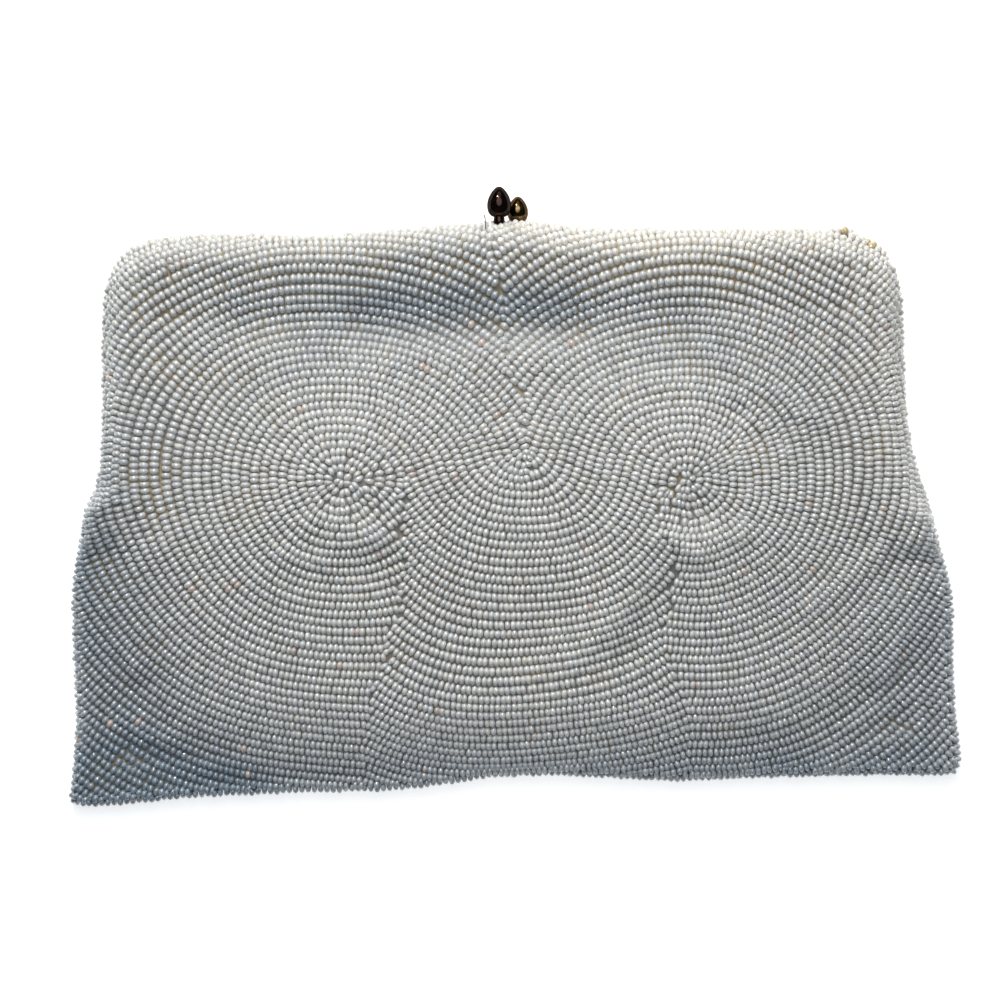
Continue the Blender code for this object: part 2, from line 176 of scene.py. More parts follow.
class Paint:
    """A material whose nodes are written from Python."""

    def __init__(self, name, **constants):
        self.material = bpy.data.materials.new(name)
        self.material.use_nodes = True
        self.tree = self.material.node_tree
        self.shader = self.tree.nodes["Principled BSDF"]
        for socket, value in constants.items():
            self.shader.inputs[socket.replace("_", " ")].default_value = value

    def node(self, kind, settings=None, inputs=None, output=0):
        made = self.tree.nodes.new(kind)
        for name, value in (settings or {}).items():
            setattr(made, name, value)
        pairs = inputs.items() if isinstance(inputs, dict) else enumerate(inputs or [])
        for name, value in pairs:
            if isinstance(value, Value):
                self.tree.links.new(value.socket, made.inputs[name])
            else:
                made.inputs[name].default_value = value
        return Value(self, made.outputs[output])

    def place(self, scale=(1, 1, 1)):
        """Where a point is on the piece, in metres, stretched."""
        here = self.node("ShaderNodeTexCoord", output="Object")
        return self.node("ShaderNodeMapping", None, {"Vector": here, "Scale": scale})

    def noise(self, size, detail=2.0, place=None):
        """Soft noise whose blotches are about size metres across."""
        inputs = {"Vector": place or self.place(), "Scale": 1 / size, "Detail": detail}
        return self.node("ShaderNodeTexNoise", None, inputs)

    def mix(self, share, first, second):
        return self.node(
            "ShaderNodeMix", {"data_type": "RGBA"}, {0: share, 6: first, 7: second}, output=2
        )

    def bump(self, height, depth, strength=1.0):
        return self.node(
            "ShaderNodeBump", None, {"Height": height, "Distance": depth, "Strength": strength}
        )

    def drive(self, **sockets):
        for name, value in sockets.items():
            self.tree.links.new(value.socket, self.shader.inputs[name.replace("_", " ")])
        return self.material


floor_paint = Paint("pale_floor", Base_Color=(0.93, 0.93, 0.93, 1), Roughness=0.9, Specular_IOR_Level=0.1)
floor_paint.shader.inputs["Emission Color"].default_value = (1, 1, 1, 1)
floor_paint.shader.inputs["Emission Strength"].default_value = FLOOR_GLOW
floor.data.materials.append(floor_paint.material)

# %% [markdown]
# ## The purse's skin
#
# Each panel of the CAD model is a closed shell. The beads stand on its outer side only, so a copy of the panel
# is merged and every face that looks inwards is deleted. What is left is one open sheet, and its edge is the
# parting line where the front meets the back.

# %% Take the outer side of each panel
MERGE = 0.02 * MM
LEAN = 20.0  # what looks outwards leans this much, per metre, away from the purse's middle


def outer_skin(node, up):
    """A panel's outer side as one open sheet: up is 1 for the front panel, -1 for the back."""
    skin = bmesh.new()
    skin.from_mesh(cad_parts[node].data)
    bmesh.ops.remove_doubles(skin, verts=skin.verts, dist=MERGE)
    skin.normal_update()
    inwards = []
    for face in skin.faces:
        middle = face.calc_center_median()
        if face.normal.dot(Vector((middle.x * LEAN, middle.y * LEAN, up))) < 0:
            inwards.append(face)
    bmesh.ops.delete(skin, geom=inwards, context="FACES")
    return skin


def longest_edge_loop(skin):
    """The skin's outer boundary as points in order, anticlockwise from above."""
    follows = {}
    for edge in skin.edges:
        if len(edge.link_faces) == 1:
            one, other = edge.verts
            follows.setdefault(one, []).append(other)
            follows.setdefault(other, []).append(one)
    best, seen = [], set()
    for start in follows:
        if start in seen:
            continue
        loop, here = [], start
        while here is not None:
            seen.add(here)
            loop.append(here.co.copy())
            here = next((v for v in follows[here] if v not in seen), None)
        best = max(best, loop, key=len)
    points = np.array(best)
    x, y = points[:, 0], points[:, 1]
    turning = np.sum(x * np.roll(y, -1) - y * np.roll(x, -1))
    return points if turning > 0 else points[::-1]


# %% [markdown]
# ## Unrolling the hems
#
# A hem falls away steeply over the frame. If the rows were planned on the flat picture, they would be pulled
# apart there. So a plan point outside the hem's inner line means cloth that goes on over the hem: its distance
# is measured along the cloth, not on the floor. The class keeps a table of the hem's section at many stations
# round the outline, and a grid of heights for the rest.

# %% Find any plan point on the cloth
# Hollows and swellings of the front cloth that are finer than the CAD's, as soft strokes from x, y to x, y with
# their half width and lift, all in mm
RELIEF = (
    # the hollow under the hem, the roll above the bottom seam, the fall towards both bottom corners
    (-62, 38.5, 38, 38.5, 3.3, -0.8), (-36, 38.8, 14, 38.8, 3.2, -1.4), (36, 36, 58, 33, 4, -0.7),
    (-60, -46, 60, -46, 7, 0.9), (-104, -58, -70, -80, 12, -1.6), (104, -50, 75, -75, 12, -1.4),
    # the mounds round both eyes, puckers in them, and the fold that hangs from the right one
    (-43, 4, -35, 4, 13, 1.2), (38, 3, 44, 3, 14, 1.2), (-45, 14, 45, 14, 12, 0.4),
    (-42, -6, -31, -9, 2.2, 0.7), (-33, 6, -27, -3, 2.6, -0.35), (-27, -8, -26, -26, 2.4, -0.6),
    (-53, -13, -44, -15, 1.6, 0.5), (38, -4, 43, -3, 2.8, -0.8), (33, -9, 41, -13, 1.8, 0.6),
    (41, -13, 51, -9, 1.8, 0.5), (51, -9, 54, 0, 1.8, 0.3), (33.6, -15, 24, -30, 3, 0.6),
    (24, -30, 15, -38, 3, 0.4),
    # ridges above the right eye
    (30, 27.4, 51, 23.8, 1.8, 0.5), (52, 23, 61.7, 10.7, 1.8, 0.5), (44, 34.5, 70, 17, 1.8, 0.4),
    # wrinkles at the left and the right edge
    (-99, -27, -88, -39, 2.2, 0.8), (-95, -11, -80, -12, 3, 0.6), (-101, -50, -80, -57, 2.5, 0.8),
    (92, -7, 68, -25, 2.2, 0.7), (95, -27, 85, -41, 2.2, 0.8), (98, -41, 76, -55, 2.2, 0.8),
)
RELIEF_FADE = 5 * MM


def strokes(places, lines):
    """The sum of soft strokes, each from x, y to x, y with its half width and strength, at every place."""
    total = np.zeros(len(places))
    for *ends, width, strength in lines:
        start, stop = np.array(ends).reshape(2, 2) * MM
        step = stop - start
        share = np.clip(((places - start) @ step) / (step @ step), 0, 1)
        away = np.linalg.norm(places - start - share[:, None] * step, axis=1)
        total += strength * np.exp(-0.5 * (away / (width * MM)) ** 2)
    return total


def free_relief(places, inside):
    """The relief where the cloth hangs free: it fades out towards the hems."""
    return strokes(places, RELIEF) * MM * np.clip((inside - HEM_INNER) / RELIEF_FADE, 0, 1)


STATIONS = 720
HEM_DEPTHS = np.array([0.0, 0.12, 0.3, 0.6, 1.0, 1.6, 2.3, 3.1, 4.0, 5.0, 6.0, 7.0, 8.0]) * MM
HEM_INNER = HEM_DEPTHS[-1]
GRID_STEP = 1.0 * MM
AHEAD = 3  # stations on either side that give the outline's direction
ABOVE = 0.1  # metres from the parting line, from where a height is felt for
BATCH = 4000  # places that are compared with the outline at a time


class Cloth:
    """A panel's outer surface, reached by places on the flat cloth before it was hemmed."""

    def __init__(self, node, up):
        self.up = up
        self.skin = outer_skin(node, up)
        self.tree = BVHTree.FromBMesh(self.skin)
        loop = longest_edge_loop(self.skin)
        closed = np.vstack([loop, loop[:1]])
        run = np.concatenate([[0], np.cumsum(np.linalg.norm(np.diff(closed[:, :2], axis=0), axis=1))])
        at = np.linspace(0, run[-1], STATIONS, endpoint=False)
        self.line = np.stack([np.interp(at, run, closed[:, axis]) for axis in range(3)], axis=1)
        self.step = run[-1] / STATIONS
        ahead = np.roll(self.line, -AHEAD, axis=0)[:, :2] - np.roll(self.line, AHEAD, axis=0)[:, :2]
        self.along = unit(ahead)
        self.inward = np.stack([-self.along[:, 1], self.along[:, 0]], axis=1)
        self.heights = np.empty((STATIONS, len(HEM_DEPTHS)))
        for station in range(STATIONS):
            self.heights[station, 0] = self.line[station, 2]
            for number, depth in enumerate(HEM_DEPTHS[1:], 1):
                x, y = self.line[station, :2] + self.inward[station] * depth
                self.heights[station, number] = self.height(x, y, self.line[station, 2])
        rise = np.diff(self.heights, axis=1)
        lengths = np.sqrt(rise**2 + np.diff(HEM_DEPTHS) ** 2)
        self.reach = HEM_INNER - np.cumsum(lengths[:, ::-1], axis=1)[:, ::-1]
        self.reach = np.hstack([self.reach, np.full((STATIONS, 1), HEM_INNER)])
        low, high = self.line.min(0)[:2], self.line.max(0)[:2]
        self.corner = low
        across, upwards = (np.arange(0, span + 2 * GRID_STEP, GRID_STEP) for span in (high - low))
        self.grid = np.array(
            [[self.height(low[0] + x, low[1] + y, np.nan) for y in upwards] for x in across]
        )
        level = np.nanmedian(self.grid)
        self.grid[np.isnan(self.grid)] = level

    def height(self, x, y, otherwise):
        """Height of the cloth over the floor at one place."""
        hit = self.tree.ray_cast(Vector((x, y, self.up * ABOVE)), Vector((0, 0, -self.up)))[0]
        return otherwise if hit is None else hit.z

    def from_edge(self, places):
        """The nearest station to each place, how far inside the outline it is, and how far past the station."""
        nearest = np.empty(len(places), int)
        for start in range(0, len(places), BATCH):
            part = places[start : start + BATCH]
            apart = (
                (part**2).sum(1)[:, None]
                - 2 * part @ self.line[:, :2].T
                + (self.line[:, :2] ** 2).sum(1)[None]
            )
            nearest[start : start + BATCH] = apart.argmin(1)
        away = places - self.line[nearest, :2]
        inside = (away * self.inward[nearest]).sum(1)
        past = (away * self.along[nearest]).sum(1) / self.step
        return nearest, inside, past

    def margin(self, places):
        """How far each place is from the parting line, measured along the cloth."""
        nearest, inside, _ = self.from_edge(places)
        return inside - self.reach[nearest, 0]

    def lay(self, places):
        """Points on the cloth's surface for places on the flat cloth."""
        places = np.asarray(places, float)
        nearest, inside, past = self.from_edge(places)
        out = np.empty((len(places), 3))
        cell = (places - self.corner) / GRID_STEP
        cell = np.clip(cell, 0, np.array(self.grid.shape) - 1.001)
        i, j = cell.astype(int).T
        a, b = (cell - cell.astype(int)).T
        level = (
            self.grid[i, j] * (1 - a) * (1 - b)
            + self.grid[i + 1, j] * a * (1 - b)
            + self.grid[i, j + 1] * (1 - a) * b
            + self.grid[i + 1, j + 1] * a * b
        )
        if self.up > 0:
            level += free_relief(places, inside)
        out[:, :2], out[:, 2] = places, level
        hem = np.nonzero(inside < HEM_INNER)[0]
        station = nearest[hem] + np.clip(past[hem], -0.5, 0.5)
        low = np.floor(station).astype(int)
        share = station - low
        out[hem] = 0
        for end, weight in ((low % STATIONS, 1 - share), ((low + 1) % STATIONS, share)):
            reach = np.clip(inside[hem], self.reach[end, 0], HEM_INNER)
            slot = np.clip((self.reach[end] <= reach[:, None]).sum(1) - 1, 0, len(HEM_DEPTHS) - 2)
            start, stop = self.reach[end, slot], self.reach[end, slot + 1]
            t = (reach - start) / np.maximum(stop - start, 1e-9)
            depth = HEM_DEPTHS[slot] * (1 - t) + HEM_DEPTHS[slot + 1] * t
            height = self.heights[end, slot] * (1 - t) + self.heights[end, slot + 1] * t
            spot = self.line[end, :2] + self.inward[end] * depth[:, None]
            out[hem] += np.column_stack([spot, height]) * weight[:, None]
        return out


front = Cloth("front_panel", 1)
back = Cloth("back_panel", -1)
print("round the front's edge:", round(front.step * STATIONS / MM), "mm")
print("the hem takes", round(-front.reach[:, 0].min() / MM, 1), "mm more cloth than the plan shows")

# %% [markdown]
# ## One seed bead
#
# A seed bead is a short piece of drawn glass tube whose ends were melted round, so it is a barrel wider than it
# is long. Thousands are needed, so one bead may have only a few dozen faces: a cylinder of eight sides, cut at
# its waist, its waist swollen to the full width and the middles of its ends drawn out. The thread hole is left
# out, because the next bead in the row hides it.

# %% Model the bead
BEAD_SIDES = 8
SHOULDER = 0.73  # width of a bead's ends as a share of its waist
BARREL, BULGE = 0.74, 0.12  # length between the ends' rims, and how far their middles stand out, as shares
DRAWN = 0.25  # how far the sides are turned towards the outside, in radians at most
NEARLY = 0.01
pick()
bpy.ops.mesh.primitive_cylinder_add(
    vertices=BEAD_SIDES, radius=SHOULDER / 2, depth=BARREL, end_fill_type="TRIFAN"
)
bead = bpy.context.object
bpy.ops.object.mode_set(mode="EDIT")
bpy.ops.mesh.select_all(action="SELECT")
bpy.ops.mesh.bisect(plane_co=(0, 0, 0), plane_no=(0, 0, 1))
bpy.ops.object.mode_set(mode="OBJECT")
for vert in bead.data.vertices:
    vert.select = abs(vert.co.z) < NEARLY
bpy.ops.object.mode_set(mode="EDIT")
bpy.ops.transform.resize(value=(1 / SHOULDER, 1 / SHOULDER, 1))
for end in (-1, 1):
    bpy.ops.object.mode_set(mode="OBJECT")
    for part in (bead.data.vertices, bead.data.edges, bead.data.polygons):
        for item in part:
            item.select = False
    for vert in bead.data.vertices:
        vert.select = vert.co.xy.length < NEARLY and vert.co.z * end > 0
    bpy.ops.object.mode_set(mode="EDIT")
    bpy.ops.transform.translate(value=(0, 0, BULGE * end))
bpy.ops.object.mode_set(mode="OBJECT")
bead_points = np.array([vert.co for vert in bead.data.vertices])
# The sides that will face outwards are drawn closer together, because only those are seen
turn = np.arctan2(bead_points[:, 1], bead_points[:, 0])
reach = np.hypot(bead_points[:, 0], bead_points[:, 1])
turn -= DRAWN * np.sin(turn)
bead_points[:, 0], bead_points[:, 1] = reach * np.cos(turn), reach * np.sin(turn)
bead_faces = [list(face.vertices) for face in bead.data.polygons]
bpy.data.objects.remove(bead)
bead_triangles = sum(len(face) - 2 for face in bead_faces)
print("a bead has", len(bead_points), "points and", bead_triangles, "triangles")

# %% [markdown]
# ## How the rows run
#
# The beader worked round two eyes, one on each half of the panel, and filled the middle with a fan whose rows
# hang from between them. Rows are not true circles. How far apart they lie is given in twelve directions round
# each centre, near it and far from it, and those spacings are joined smoothly. The spacings come from a
# least-squares fit to the pattern in the photograph. They were rounded, and those of the two eyes were changed
# afterwards.

# %% The three families of rows
NEAR, FAR = 14 * MM, 51 * MM  # where the two lists of spacings hold
BEYOND = 0.4  # how far past those two the trend goes on, as a share of the way between them
RIM, RIM_CLOSE = 45 * MM, 0.78  # from here up the rows stand wider apart
ALIKE_FROM, ALIKE_OVER = 50 * MM, 26 * MM  # how far out sideways that fades, and over what width
ROUNDS = 30  # in which a row's places settle
TURN = np.radians(np.arange(361))


def smooth_turn(values):
    """Values given every 30 degrees, joined smoothly round the full turn and read at every degree."""
    waves = np.fft.rfft(values) / len(values)
    waves[1:-1] *= 2
    return sum((wave * np.exp(1j * k * TURN)).real for k, wave in enumerate(waves))


def ease(share):
    share = np.clip(share, 0, 1)
    return share * share * (3 - 2 * share)


def closeness(x):
    """The rim's usual row spacing as a share of its real one: both are alike at the shoulders."""
    return 1 - (1 - RIM_CLOSE) * (1 - ease((abs(x) - ALIKE_FROM) / ALIKE_OVER))


def worked(places):
    """Places as they would lie if the rim's rows, which stand wider apart, were as close as the others."""
    x, y = places.T
    return np.column_stack([x, np.where(y > RIM, RIM + (y - RIM) * closeness(x), y)])


def unworked(places):
    x, y = places.T
    return np.column_stack([x, np.where(y > RIM, RIM + (y - RIM) / closeness(x), y)])


class Rows:
    """Rows of beads round a point. Row spacings are in mm, from the right-hand side anticlockwise."""

    def __init__(self, x, y, near, far):
        self.eye = np.array([x, y]) * MM
        self.near, self.far = smooth_turn(near), smooth_turn(far)

    def spacing(self, angle, radius):
        share = np.clip((radius - NEAR) / (FAR - NEAR), -BEYOND, 1 + BEYOND)
        near, far = (np.interp(angle % (2 * np.pi), TURN, kind) for kind in (self.near, self.far))
        return (near * (1 - share) + far * share) * MM

    def number(self, places):
        """Which row a place is on, counted from the eye."""
        away = worked(places) - self.eye
        radius, angle = np.hypot(away[:, 0], away[:, 1]), np.arctan2(away[:, 1], away[:, 0])
        return radius / self.spacing(angle, radius)

    def thread_at(self, places, shift):
        """How far apart the rows are at each place, and which way their thread runs."""
        step = 0.25 * MM
        slope = []
        for way in ((step, 0), (0, step)):
            ahead, behind = places + way, places - np.array(way)
            change = self.number(ahead) + shift(ahead) - self.number(behind) - shift(behind)
            slope.append(change / (2 * step))
        steep = np.maximum(np.hypot(*slope), 1e-6)
        return 1 / steep, np.column_stack([-slope[1] / steep, slope[0] / steep])

    def row(self, number, angle, shift=lambda places: 0):
        """A row's places at the given angles. shift says how far the count is pushed out at a place."""
        radius = np.full(len(angle), number * 2 * MM)
        around = np.column_stack([np.cos(angle), np.sin(angle)])
        for _ in range(ROUNDS):
            here = unworked(self.eye + around * radius[:, None])
            radius = np.maximum((number - shift(here)) * self.spacing(angle, radius), 0)
        return unworked(self.eye + around * radius[:, None])


left_eye = Rows(
    -38.9, 3.8,
    near=[2.4, 2.1, 1.87, 1.8, 1.95, 2.05, 2.1, 2.05, 2.05, 2.0, 2.0, 2.1],
    far=[2.3, 2.1, 1.90, 1.82, 2.0, 2.2, 2.22, 2.12, 2.03, 1.97, 2.2, 2.4],
)
right_eye = Rows(
    39.3, 3.8,
    near=[1.9, 1.93, 1.88, 1.85, 1.95, 2.1, 2.2, 2.3, 1.8, 1.75, 1.8, 1.93],
    far=[2.06, 2.10, 1.97, 1.90, 1.95, 2.1, 2.25, 2.4, 2.0, 1.85, 1.9, 1.95],
)
middle_fan = Rows(
    3.0, 10.7,
    near=[2.05, 2.05, 2.05, 2.05, 2.05, 2.3, 2.55, 2.35, 2.05, 1.9, 2.0, 2.05],
    far=[2.0, 2.0, 2.0, 2.0, 2.0, 2.0, 2.1, 2.0, 2.05, 1.95, 2.0, 2.0],
)

# The line where rows of the two eyes meet above the fan, and the fan's two sides, from the top down
MEETING_LINE = np.array([(-5.1, 66), (-5.1, 53), (-2.5, 45), (-2.3, 29), (1.4, 25), (3.0, 11.2)]) * MM
FAN_LEFT = np.array([
    (3.0, 11.2), (-10.1, 9.4), (-24.4, 5.7), (-25.8, -0.8), (-25.8, -23.8), (-28.1, -29.5),
    (-29.7, -36.4), (-32.4, -44.5), (-34.0, -53.7), (-35.4, -80.0),
]) * MM
FAN_RIGHT = np.array([
    (3.0, 11.2), (7.1, 9.6), (19.8, 6.6), (31.3, 3.4), (32.4, -0.8), (33.6, -8.8), (36.3, -12.3),
    (36.3, -21.5), (34.5, -26.1), (34.0, -33.0), (36.3, -39.9), (39.8, -46.8), (40.5, -56.0), (40.9, -80.0),
]) * MM


def at_height(line, y):
    """A border's x at the given y."""
    return np.interp(-y, -line[:, 1], line[:, 0])


def region(places):
    """0 where rows go round the left eye, 1 in the fan, 2 round the right eye."""
    x, y = places.T
    x = x + 0.5 * MM * np.sin(y / (1.9 * MM)) + 0.35 * MM * np.sin(y / (0.7 * MM) + 1)
    y = y + 0.6 * MM * np.sin(x / (2.3 * MM))
    fan = (y < FAN_LEFT[0, 1]) & (x > at_height(FAN_LEFT, y)) & (x < at_height(FAN_RIGHT, y))
    meeting = np.where(y > FAN_LEFT[0, 1], at_height(MEETING_LINE, y), 0)
    return np.where(fan, 1, np.where(x < meeting, 0, 2))


# Low down the fan's rows run on into the rows of both eyes, and so do those under its roof, where a row comes
# down beside an eye and swings out under the fan. Their counts are brought into step there.
PHASES = (0.55, 0.5, 0.5)  # where the first row of each family lies, in rows from its centre
ROOF = np.vstack([FAN_LEFT[2::-1], FAN_RIGHT[1:4]])
SETTLE = 11 * MM  # how far below the roof the counts are free again
LOW_FROM, LOW_OVER = -15 * MM, 36 * MM  # where the fan's foot begins, and over what height it takes hold
FOOT = -60 * MM


def fan_shift(places):
    x, y = places[:, 0], places[:, 1]
    push = 0
    low = ease((LOW_FROM - y) / LOW_OVER)
    left, right = at_height(FAN_LEFT, y), at_height(FAN_RIGHT, y)
    across = np.clip((x - left) / np.maximum(right - left, MM), 0, 1)
    for eye, phase, line, share in (
        (left_eye, PHASES[0], FAN_LEFT, 1 - across), (right_eye, PHASES[2], FAN_RIGHT, across)
    ):
        def out_of_step(here):
            return middle_fan.number(here) - PHASES[1] - eye.number(here) + phase

        foot = np.array([[at_height(line, FOOT), FOOT]])
        border = np.column_stack([at_height(line, y), y])
        push = push + (np.round(out_of_step(foot)) - out_of_step(border)) * share * low

        def in_all(here):
            return middle_fan.number(here) - PHASES[1] + eye.number(here) - phase

        under = (x < ROOF[2, 0]) == (eye is left_eye)
        roof_x = np.clip(x, ROOF[0, 0], ROOF[-1, 0])
        roof = np.column_stack([roof_x, np.interp(roof_x, ROOF[:, 0], ROOF[:, 1])])
        middle = np.array([[ROOF[1, 0] if eye is left_eye else ROOF[4, 0], ROOF[1, 1]]])
        high = 1 - ease((roof[:, 1] - y) / SETTLE)
        push = push + np.where(under, (np.round(in_all(middle)) - in_all(roof)) * high, 0)
    return push


FAMILIES = ((left_eye, lambda places: 0), (middle_fan, fan_shift), (right_eye, lambda places: 0))
above_eye = np.array([[left_eye.eye[0], 62 * MM]])
print("rows from the left eye up to the rim:", round(float(left_eye.number(above_eye)[0])))

# %% [markdown]
# ## Threading the rows
#
# Each row is walked along the cloth, and a bead is set at every bead's length. Beads at the rim are bigger than
# those at the bottom. Where two families meet, a beader leaves out a bead that doesn't fit and slips single
# beads into the holes, and the script does the same.

# %% Set the beads of one panel
PITCH_AT = np.array([(-75, 1.28), (-20, 1.27), (10, 1.35), (50, 1.50), (64, 1.55)]) * MM
# Strokes where the beads are longer or shorter than elsewhere at that height, in mm
PITCH_MORE = (
    (-88, 28, -84, 2, 12, 0.16), (-85, 48, -60, 48, 8, -0.09), (60, -20, 85, -28, 12, -0.07),
    (84, -60, 95, -45, 8, 0.12), (-95, -60, -85, -56, 10, 0.12), (60, 38, 40, 38, 8, -0.08),
    (-15, 38, -12, 38, 8, 0.08), (61, 4, 62, 4, 8, -0.09),
)
NARROWEST, WIDEST = 2.15 * MM, 2.6 * MM
EYE_CORES = ((-36.0, 1.5, 9.0), (39.0, -0.5, 7.0))  # where the rows are jumbled: x, y, radius in mm
# Where the beads of the edge stand out from the cloth more than elsewhere, as strokes in mm
STAND_OUT = (
    (103, -24, 106, -64, 8, 0.9), (-86, 56, -62, 62, 7, 0.7), (8, 62, 32, 62, 6, 0.5),
    (66, 62, 86, 55, 7, 0.5), (75.8, 61, 76.4, 61, 1.8, 1.8), (82.2, 57, 82.7, 57, 1.6, 0.9),
    (-60, -69, 90, -64, 5, 0.3),
)
EDGE_ROWS = 1
EDGE_SPACING, EDGE_PITCH = 2.0 * MM, 1.45 * MM
MOST_ROWS = 70
FINE = 0.1  # a row's ends are found to a tenth of a bead
TOO_CLOSE, KIN_CLOSE = 1.08 * MM, 0.6  # for beads of two families, and its share that holds within one
HOLE_STEP, HOLE_MARGIN = 0.5 * MM, 1.0 * MM
HOLE_ROOM = 1.04  # how far off every other bead is, as a share of half a bead's diagonal


def pitch_of(places):
    """How far apart the beads of a row are at each place."""
    return np.interp(places[:, 1], PITCH_AT[:, 0], PITCH_AT[:, 1]) + strokes(places, PITCH_MORE) * MM


def walk(places, cloth):
    """Length along the cloth to each of a row's places."""
    points = cloth.lay(places)
    return np.concatenate([[0], np.cumsum(np.linalg.norm(np.diff(points, axis=0), axis=1))])


def runs_of(kept):
    """The stretches of a closed row that are kept, each as its first and last sample, counted on past the end."""
    if kept.all():
        return [(0, len(kept))]
    start = int(np.argmin(kept))
    turned = np.concatenate([np.roll(kept, -start), [False]])
    edges = np.flatnonzero(np.diff(turned.astype(int)))
    return [(start + a + 1, start + b + 1) for a, b in zip(edges[::2], edges[1::2])]


def row_places(kin, number, cloth):
    """Where one row's beads go on the flat cloth, and which way the thread runs there."""
    family, shift = FAMILIES[kin]
    angle = np.linspace(0, 2 * np.pi, int(max(24, 12 * number)) + 1)
    places = family.row(number, angle, shift)
    if not (cloth.margin(places) > 0).any():
        return None
    run = walk(places, cloth)
    pitch = pitch_of(places)
    beads = np.concatenate([[0], np.cumsum(np.diff(run) / (pitch[1:] + pitch[:-1]) * 2)])
    total = beads[-1]

    def at(count):
        return np.column_stack([np.interp(count % total, beads, places[:, axis]) for axis in (0, 1)])

    samples = max(8, int(total / FINE))
    fine = at(np.arange(samples) * total / samples)
    kept = (region(fine) == kin) & (cloth.margin(fine) > EDGE_ROWS * EDGE_SPACING)
    counts = []
    for first, last in runs_of(kept):
        long = (last - first) * total / samples
        whole = round(long)
        if whole > 0:
            free = luck.random() if last - first == samples else 0.5
            counts.append(first * total / samples + (np.arange(whole) + free) * long / whole)
    if not counts:
        return None
    counts = np.concatenate(counts)
    way = at(counts + 0.5) - at(counts - 0.5)
    return at(counts), unit(way)


def thread_panel(cloth):
    """All beads of a panel: places, thread directions, and the family that each belongs to."""
    found = []
    for kin in range(3):
        for number in range(MOST_ROWS):
            row = row_places(kin, number + PHASES[kin], cloth)
            if row:
                found.append((*row, np.full(len(row[0]), kin)))
    for row in range(EDGE_ROWS):
        spots, way = edge_row(cloth, (row + 0.5) * EDGE_SPACING)
        found.append((spots, way, region(spots)))
    return [np.concatenate(part) for part in zip(*found)]


def edge_row(cloth, margin):
    """A row along the parting line, which binds the cloth's edge."""
    depth = cloth.reach[:, 0] + margin
    line = cloth.line[:, :2] + cloth.inward * depth[:, None]
    closed = np.vstack([line, line[:1]])
    run = walk(closed, cloth)
    whole = round(run[-1] / EDGE_PITCH)
    at = np.arange(whole) * run[-1] / whole
    spots = np.column_stack([np.interp(at, run, closed[:, axis]) for axis in (0, 1)])
    ahead = np.column_stack([np.interp((at + MM) % run[-1], run, closed[:, axis]) for axis in (0, 1)])
    return spots, unit(ahead - spots)


def tree_of(points):
    tree = KDTree(len(points))
    for number, point in enumerate(points):
        tree.insert(point, number)
    tree.balance()
    return tree


def thin_out(points, kin):
    """Which beads stay when one of each pair from two families that stand too close is left out."""
    tree = tree_of(points)
    stays = np.ones(len(points), bool)
    for number, point in enumerate(points):
        if not stays[number]:
            continue
        for _, other, gap in tree.find_range(point, TOO_CLOSE):
            if other > number and (kin[other] != kin[number] or gap < KIN_CLOSE * TOO_CLOSE):
                stays[other] = False
    return stays


def fill_holes(cloth, spots, points):
    """Single beads where the rows leave a hole that one more fits into."""
    tree = tree_of(points)
    low, high = spots.min(0), spots.max(0)
    grid = np.mgrid[low[0] : high[0] : HOLE_STEP, low[1] : high[1] : HOLE_STEP].reshape(2, -1).T
    grid = grid[cloth.margin(grid) > HOLE_MARGIN]
    pitch = pitch_of(grid)
    gap = thread_round(grid, region(grid))[0]
    room = HOLE_ROOM * np.hypot(np.clip(gap, NARROWEST, WIDEST) / 2, pitch / 2)
    added = []
    for place, point, need in zip(grid, cloth.lay(grid), room):
        if tree.find(point)[2] > need and all(np.linalg.norm(point - other) > need for _, other in added):
            added.append((place, point))
    return np.array([place for place, _ in added]).reshape(-1, 2)


def thread_round(places, kin):
    """Row spacing and thread direction at each place, by its family."""
    gap, way = np.empty(len(places)), np.empty((len(places), 2))
    for number, (family, shift) in enumerate(FAMILIES):
        mine = kin == number
        gap[mine], way[mine] = family.thread_at(places[mine], shift)
    return gap, way


WIDTH_BASE, WIDTH_SHARE = 1.6 * MM, 0.4  # a bead's width is the first and this share of the row spacing
LONGER = 1.09  # a bead's length as a share of the pitch
WIDTH_SPREAD, LENGTH_SPREAD = 0.035, 0.045
FELT = 0.7 * MM  # how far round a bead the cloth's slope is felt
CORE_EDGE = 1.4  # where the jumble of an eye's core has faded out, in the core's radii
LEAN_SPREAD, CORE_LEAN = 0.07, 0.22
SINK_SPREAD, CORE_SINK = 0.06, 0.2  # in mm
FRILL_WIDTH, FRILL, FRILL_MORE = 5 * MM, 0.3, 0.5  # the edge's beads stand out by the second to both, in mm


